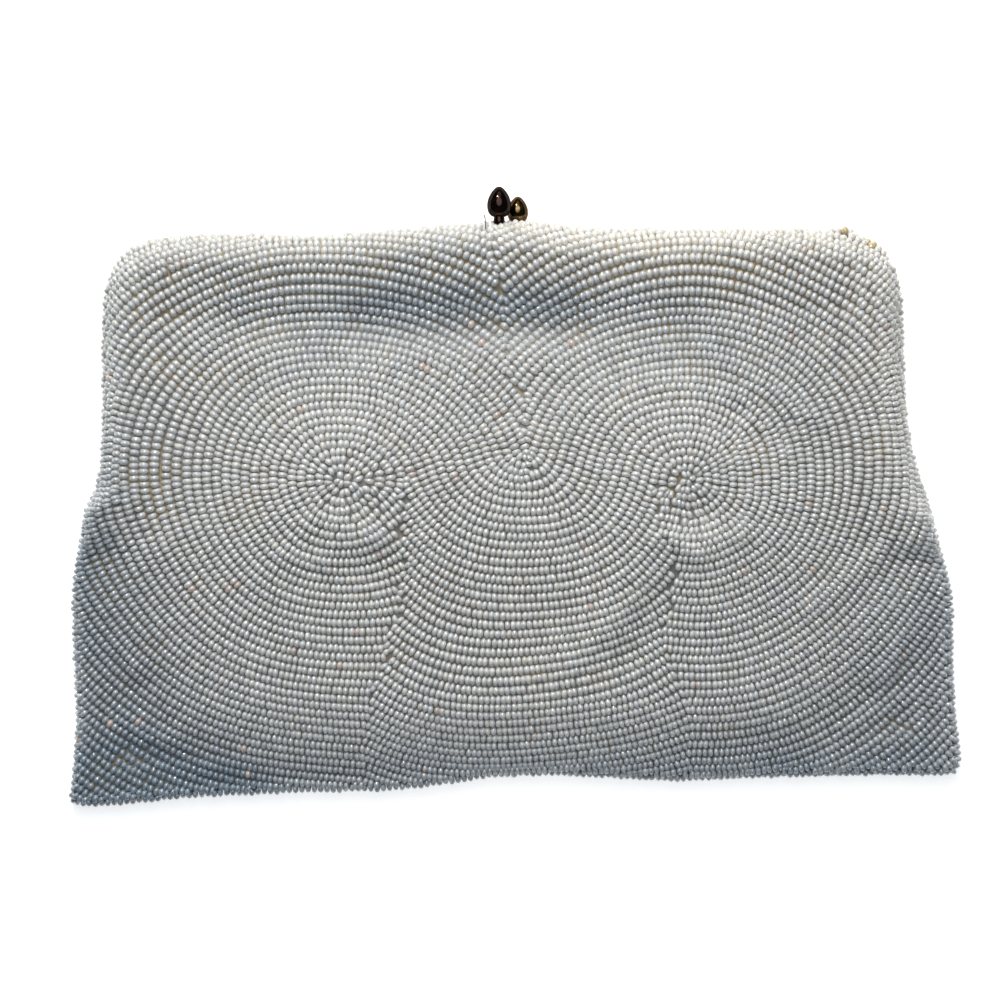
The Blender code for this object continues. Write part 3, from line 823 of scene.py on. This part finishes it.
def beads_of(cloth):
    """Every bead of a panel: centre, thread direction, outward direction, width, length and family."""
    spots, way, kin = thread_panel(cloth)
    points = cloth.lay(spots)
    stays = thin_out(points, kin)
    spots, way, kin, points = spots[stays], way[stays], kin[stays], points[stays]
    extra = fill_holes(cloth, spots, points)
    spots = np.vstack([spots, extra])
    kin = np.concatenate([kin, region(extra)])
    gap, run = thread_round(spots, kin)
    way = np.vstack([way, run[len(way) :]])
    across = np.column_stack([-way[:, 1], way[:, 0]])
    points = cloth.lay(spots)
    thread = cloth.lay(spots + way * FELT) - cloth.lay(spots - way * FELT)
    side = cloth.lay(spots + across * FELT) - cloth.lay(spots - across * FELT)
    out = unit(np.cross(thread, side) * cloth.up)
    thread = unit(thread)
    count = len(spots)
    out *= np.sign((out * np.column_stack([spots * LEAN, np.full(count, cloth.up)])).sum(1))[:, None]
    width = np.clip(WIDTH_BASE + gap * WIDTH_SHARE, NARROWEST, WIDEST) * luck.normal(1, WIDTH_SPREAD, count)
    length = pitch_of(spots) * luck.normal(LONGER, LENGTH_SPREAD, count)
    jumble = np.zeros(count)
    for x, y, radius in EYE_CORES:
        away = np.hypot(spots[:, 0] - x * MM, spots[:, 1] - y * MM) / (radius * MM)
        jumble = np.maximum(jumble, np.clip(CORE_EDGE - away, 0, 1))
    wobble = LEAN_SPREAD + CORE_LEAN * jumble
    thread = unit(thread + luck.normal(0, 1, thread.shape) * wobble[:, None])
    out = unit(out - thread * (out * thread).sum(1)[:, None])
    sink = np.abs(luck.normal(0, SINK_SPREAD, count)) * MM
    sink += jumble * luck.uniform(0, CORE_SINK, count) * MM
    frill = np.clip(1 - cloth.margin(spots) / FRILL_WIDTH, 0, 1)
    sink -= frill * (FRILL + strokes(points[:, :2], STAND_OUT) + luck.uniform(0, FRILL_MORE, count)) * MM
    centre = points - out * (width / 2 + sink)[:, None]
    print(count, "beads,", len(extra), "of them slipped into holes")
    return {
        "spot": spots, "centre": centre, "thread": thread, "out": out,
        "width": width, "length": length, "kin": kin,
    }


front_beads = beads_of(front)

# %% [markdown]
# ## Colour of the beads
#
# All are the same off-white glass, yet no two rows look alike: the glass differs a little from bead to bead, the
# rim is more cream, a few beads are pinkish, and some rim beads at the right shoulder are amber. Painted shade,
# with some soil, makes the beads darker and bluer at the lower corners, the bottom and under the hem.

# %% Give every bead its tone
PEARL = np.array([0.76, 0.76, 0.75])
CREAM = np.array([0.84, 0.76, 0.62])
GREY = np.array([0.62, 0.64, 0.67])
PINK = np.array([0.66, 0.55, 0.50])
AMBER = np.array([0.62, 0.46, 0.20])
# The dark blue that the beads are mixed towards: painted shade, and partly soil
SOIL_AND_SHADE_BLUE = np.array([0.12, 0.20, 0.28])
# How much darker and bluer the beads are made than clean ones: a little all over, less round the eyes and in the
# fan, so that these are painted lighter, and more at both lower corners, the bottom, the left edge and in the
# hollow under the hem. Some of this is soil, and the rest is painted shade that stands in for the shade these
# lights don't give. Strokes in mm with their share of the dark blue above
SOIL_AND_SHADE_EVERYWHERE = 0.16
SOIL_AND_SHADE_STROKES = (
    (-104, -12, -84, -72, 12, 0.46), (-100, -68, -70, -70, 8, 0.68), (104, -22, 86, -68, 11, 0.31),
    (98, -66, 70, -64, 7, 0.28), (-60, -69, 60, -64, 6, 0.45), (-100, 46, -100, -6, 9, 0.26),
    (-62, 44, 40, 43, 4.5, 0.20), (-34, 44.3, 12, 44.5, 4, 0.30), (-100, -5, -88, -8, 5, -0.22),
    (95, -8, 99, -10, 4, -0.18), (-42, 4, -36, -2, 20, -0.18), (36, 4, 44, 2, 20, -0.18),
    (-4, -18, 4, -34, 20, -0.16), (-80, 60, 0, 60, 8, 0.06), (4, 60, 80, 58, 8, -0.18),
    (-62, 22, -45, 33, 5, 0.10), (-45, 33, -22, 33, 5, 0.08), (22, 33, 45, 33, 5, 0.08),
    (45, 33, 66, 18, 5, 0.10), (31.3, -12.3, 15.2, -35.3, 2.5, -0.10), (88, 40, 86, 0, 10, -0.12),
)
SOIL_AND_SHADE_MOST = 0.88
AMBER_SPOTS = ((76.0, 62.6, 2.1), (82.5, 58.2, 1.7))  # x, y and radius in mm
# Mean and spread from bead to bead
LIGHTNESS, CREAM_SHARE, GREY_SHARE = (1, 0.06), (0.12, 0.11), (0.05, 0.16)
RIM_CREAM, RIM_WIDTH = 0.45, 16 * MM
RIM_FROM, RIM_OVER = -5 * MM, 30 * MM  # the height where the rim starts to be cream, and over what height
PINK_SHARE = 0.004


def tones_of(beads, cloth):
    count = len(beads["spot"])
    light = luck.normal(*LIGHTNESS, count)[:, None]
    up = np.clip((beads["spot"][:, 1] - RIM_FROM) / RIM_OVER, 0, 1)
    rim = np.clip(1 - cloth.margin(beads["spot"]) / RIM_WIDTH, 0, 1) * up
    cream = np.clip(luck.normal(*CREAM_SHARE, count) + RIM_CREAM * rim, 0, 0.9)[:, None]
    grey = np.clip(luck.normal(*GREY_SHARE, count), 0, 0.8)[:, None]
    tone = PEARL * (1 - cream) + CREAM * cream
    tone = tone * (1 - grey) + GREY * grey
    # Painted shade, partly soil: each bead is mixed towards dark blue by the strokes above
    soil_and_shade = np.clip(SOIL_AND_SHADE_EVERYWHERE + strokes(beads["spot"], SOIL_AND_SHADE_STROKES), 0, SOIL_AND_SHADE_MOST)
    tone = tone * (1 - soil_and_shade[:, None]) + SOIL_AND_SHADE_BLUE * soil_and_shade[:, None]
    tone[luck.random(count) < PINK_SHARE] = PINK
    if cloth.up > 0:
        for spot_x, spot_y, radius in AMBER_SPOTS:
            away = beads["centre"][:, :2] - np.array([spot_x, spot_y]) * MM
            tone[np.hypot(*away.T) < radius * MM] = AMBER
    return np.column_stack([np.clip(tone * light, 0.02, 0.93), np.ones(count)])


front_beads["tone"] = tones_of(front_beads, front)

# %% [markdown]
# ## Beads as meshes
#
# Nine thousand objects would be slow, and one mesh would be too heavy to export. So each family of rows becomes
# one mesh, in which the modelled bead is repeated by adding and multiplying arrays.

# %% Join the beads into meshes
def join_beads(name, beads, chosen):
    centre, thread, out = (beads[key][chosen][:, None, :] for key in ("centre", "thread", "out"))
    width, length = (beads[key][chosen][:, None, None] for key in ("width", "length"))
    side = np.cross(thread, out)
    x, y, z = (bead_points[None, :, axis, None] for axis in range(3))
    points = centre + out * x * width + side * y * width + thread * z * length
    count, each = points.shape[:2]
    mesh = bpy.data.meshes.new(name)
    faces = [
        [corner + number * each for corner in face] for number in range(count) for face in bead_faces
    ]
    mesh.from_pydata(points.reshape(-1, 3), [], faces)
    tone = mesh.attributes.new("tone", "FLOAT_COLOR", "POINT")
    tone.data.foreach_set("color", np.repeat(beads["tone"][chosen], each, axis=0).ravel())
    mesh.shade_smooth()
    made = add_object(name, mesh)
    made.data.materials.append(bead_glass)
    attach(made, "root")
    print(name, "has", count, "beads and", count * bead_triangles, "triangles")
    return made


glass = Paint(
    "bead_glass",
    Roughness=0.3,
    Coat_Weight=1.0,
    Coat_Roughness=0.13,
    Coat_IOR=1.9,
    Subsurface_Weight=0.8,
    Subsurface_Radius=(1.0, 0.95, 0.9),
    Subsurface_Scale=1.0 * MM,
)
tone = glass.node("ShaderNodeAttribute", {"attribute_name": "tone"})
mottle = glass.noise(0.5 * MM, 2.0).between(0.35, 0.75)
shade = glass.mix(mottle * 0.35, tone, (0.86, 0.86, 0.85, 1.0))
bead_glass = glass.drive(Base_Color=shade, Roughness=mottle * 0.15 + 0.22)

FAMILY_NAMES = ("left_eye", "fan", "right_eye")


def pieces_of(side, beads):
    return [
        join_beads(f"{side}_beads_{name}", beads, beads["kin"] == number)
        for number, name in enumerate(FAMILY_NAMES)
    ]


front_pieces = pieces_of("front", front_beads)

# %% [markdown]
# ## The back
#
# The photograph doesn't show the back. Such purses are usually beaded in the same rows on both sides, so the
# back gets the same families on its own flat cloth.

# %% Bead the back
back_beads = beads_of(back)
back_beads["tone"] = tones_of(back_beads, back)
back_pieces = pieces_of("back", back_beads)

# %% [markdown]
# ## The cloth under the beads
#
# Between the rows a little of the backing shows: thin cotton that has aged to ochre. Each panel's skin is copied,
# sunk under the beads and given the thickness of the cloth.

# %% The backing cloth
CLOTH_DEPTH = 1.35 * MM
CLOTH_THICKNESS = 0.5 * MM
WEAVE = 320.0


def backing(name, cloth, node):
    sheet = cloth.skin.copy()
    mesh = bpy.data.meshes.new(name)
    for vert in sheet.verts:
        vert.co -= vert.normal * CLOTH_DEPTH
    bmesh.ops.subdivide_edges(sheet, edges=sheet.edges, cuts=1, use_grid_fill=True)
    if cloth.up > 0:
        places = np.array([vert.co.xy for vert in sheet.verts])
        for vert, lift in zip(sheet.verts, free_relief(places, cloth.from_edge(places)[1])):
            vert.co.z += lift
    area = sum(face.calc_area() for face in sheet.faces)
    sheet.to_mesh(mesh)
    mesh.shade_smooth()
    made = add_object(name, mesh)
    pick(made)
    wall = made.modifiers.new("cloth", "SOLIDIFY")
    wall.thickness = CLOTH_THICKNESS
    bpy.ops.object.modifier_apply(modifier=wall.name)
    made.data.materials.append(aged_cotton)
    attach(made, "root")
    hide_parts(node)
    triangles = sum(len(face.vertices) - 2 for face in made.data.polygons)
    print(name, "has", triangles, "triangles and is cut from", round(area * 1e4), "square cm")


cotton = Paint("aged_cotton", Roughness=0.9, Specular_IOR_Level=0.2, Sheen_Weight=0.2)
warp, weft = (
    cotton.node("ShaderNodeTexWave", {"bands_direction": way}, {"Vector": cotton.place(), "Scale": WEAVE})
    for way in "XY"
)
rim = cotton.node("ShaderNodeSeparateXYZ", None, [cotton.place()], output=1).between(38 * MM, 56 * MM)
age = (cotton.noise(11 * MM, 3.0) + rim * 0.22).between(0.48, 0.72)
ochre = cotton.mix(age, (0.30, 0.29, 0.28, 1), (0.46, 0.36, 0.20, 1))
weave = warp * weft
aged_cotton = cotton.drive(
    Base_Color=cotton.mix(weave * 0.3, ochre, (0.30, 0.26, 0.19, 1)),
    Normal=cotton.bump(weave, 0.05 * MM, 0.6),
)
backing("front_backing", front, "front_panel")
backing("back_backing", back, "back_panel")

# %% [markdown]
# ## The clasp
#
# A kiss-lock closes when one knob is pushed past the other. Each knob is an egg on a short collar, round about
# its own axis, so its half profile is drawn and spun.

# %% Turn the two knobs
KNOB_SIDES = 32
POST, NECK = 0.9 * MM, 1.8 * MM  # the post's radius, and how far the collar's foot is below the egg
COLLAR = 0.46  # the collar's radius as a share of the egg's
FLARE, FLARE_AT = 1.05, 0.2 * MM  # how much wider the collar is, and how far over its foot
TAPER, TAPER_FROM = 0.94, 0.5 * MM  # how wide it ends under the egg, and how far below that it starts
SHARP = math.radians(50)
# Half profile above the collar, as shares of the egg's height and of its half width
EGG = (
    (0.0, 0.44), (0.015, 0.56), (0.05, 0.71), (0.11, 0.84), (0.19, 0.935), (0.29, 0.99), (0.39, 1.0),
    (0.49, 0.975), (0.58, 0.92), (0.67, 0.835), (0.75, 0.73), (0.82, 0.615), (0.88, 0.495), (0.93, 0.375),
    (0.965, 0.26), (0.988, 0.145), (1.0, 0.0),
)


def knob(name, node, finish, wide, top, tall):
    """A knob over the CAD's: wide is its width as a share of that one's, top how far its tip is lower in mm, and
    tall its egg's height in mm."""
    low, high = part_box(node)
    radius = (high.x - low.x) / 2 * wide
    axis_x, axis_z = (low.x + high.x) / 2, (low.z + high.z) / 2
    tip = high.y - top * MM
    egg = tip - tall * MM
    neck, collar = egg - NECK, radius * COLLAR
    outline = [(0, low.y), (POST, low.y), (POST, neck), (collar, neck), (collar * FLARE, neck + FLARE_AT)]
    outline += [(collar, egg - TAPER_FROM), (collar * TAPER, egg)]
    outline += [(radius * share, egg + (tip - egg) * up) for up, share in EGG]
    mesh = bpy.data.meshes.new(name)
    mesh.from_pydata([(x, y, 0) for x, y in outline], [(i, i + 1) for i in range(len(outline) - 1)], [])
    made = add_object(name, mesh)
    pick(made)
    bpy.ops.object.mode_set(mode="EDIT")
    bpy.ops.mesh.select_all(action="SELECT")
    bpy.ops.mesh.spin(steps=KNOB_SIDES, angle=math.tau, center=(0, 0, 0), axis=(0, 1, 0))
    bpy.ops.mesh.select_all(action="SELECT")
    bpy.ops.mesh.remove_doubles(threshold=0.005 * MM)
    bpy.ops.mesh.normals_make_consistent(inside=False)
    bpy.ops.object.mode_set(mode="OBJECT")
    bpy.ops.object.shade_smooth_by_angle(angle=SHARP)
    made.data.transform(Matrix.Translation((axis_x, 0, axis_z)))
    made.data.materials.append(finish)
    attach(made, "root")
    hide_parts(node)
    print(name, "has", len(made.data.polygons), "faces")


def gilt(name, dark, light, edge, wear):
    paint = Paint(name, Metallic=1.0, Coat_Weight=0.2, Coat_Roughness=0.06, Specular_Tint=edge)
    tarnish = paint.noise(2.2 * MM, 4.0).between(0.5 - wear, 0.75 - wear)
    scuffs = paint.noise(0.25 * MM, 3.0).between(0.45, 0.75)
    return paint.drive(
        Base_Color=paint.mix(tarnish, dark, light),
        Roughness=scuffs * 0.08 + 0.07,
        Normal=paint.bump(scuffs, 0.01 * MM, 0.3),
    )


dark_gilt = gilt(
    "dark_gilt", (0.022, 0.013, 0.009, 1), (0.11, 0.032, 0.016, 1), (0.05, 0.03, 0.02, 1), -0.05
)
worn_gilt = gilt("worn_gilt", (0.05, 0.028, 0.010, 1), (0.30, 0.21, 0.08, 1), (0.35, 0.27, 0.14, 1), 0.03)
knob("front_knob", "clasp_front", dark_gilt, 1.10, 0.6, 7.0)
knob("back_knob", "clasp_back", worn_gilt, 1.04, 0.0, 6.0)

# %% [markdown]
# ## A loose thread end
#
# Beside the front knob a cut end of the sewing thread stands up from the rim. It is a few millimetres long, so a
# bevelled curve that becomes a mesh is enough.

# %% The thread end
def thread_end(name, points, radius):
    path = bpy.data.curves.new(name, "CURVE")
    path.dimensions = "3D"
    path.bevel_depth, path.bevel_resolution, path.resolution_u = radius, 1, 4
    path.use_fill_caps = True
    spline = path.splines.new("BEZIER")
    spline.bezier_points.add(len(points) - 1)
    for point, place in zip(spline.bezier_points, points):
        point.co = Vector(place) * MM
        point.handle_left_type = point.handle_right_type = "AUTO"
    made = add_object(name, path)
    pick(made)
    bpy.ops.object.convert(target="MESH")
    made.data.materials.append(grey_thread)
    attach(made, "root")
    print(name, "has", len(made.data.polygons), "faces")


twist = Paint("grey_thread", Roughness=0.8, Sheen_Weight=0.3)
strands = twist.noise(0.12 * MM, 3.0)
grey_thread = twist.drive(
    Base_Color=twist.mix(strands, (0.07, 0.07, 0.08, 1), (0.22, 0.22, 0.22, 1)),
    Normal=twist.bump(strands, 0.03 * MM),
)
THREAD = ((-6.5, 61.0, 12.5), (-6.55, 62.4, 12.7), (-6.6, 63.4, 12.6), (-6.75, 64.3, 12.4))  # in mm
thread_end("thread_end", THREAD, 0.14 * MM)

# %% [markdown]
# ## The frame
#
# The wires and their knuckles are hidden in the hems. They keep the CAD's shapes and get drawn steel.

# %% Steel for the frame
steel = Paint("drawn_steel", Metallic=1.0)
grain = steel.noise(0.4 * MM, 2.0, steel.place((1, 12, 1)))
drawn_steel = steel.drive(
    Base_Color=steel.mix(grain, (0.30, 0.28, 0.26, 1), (0.50, 0.48, 0.45, 1)),
    Roughness=grain * 0.2 + 0.3,
    Normal=steel.bump(grain, 0.02 * MM, 0.4),
)
for node in ("front_frame", "back_frame", "hinge_left", "hinge_right"):
    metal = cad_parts[node]
    metal.data.materials.clear()
    metal.data.materials.append(drawn_steel)
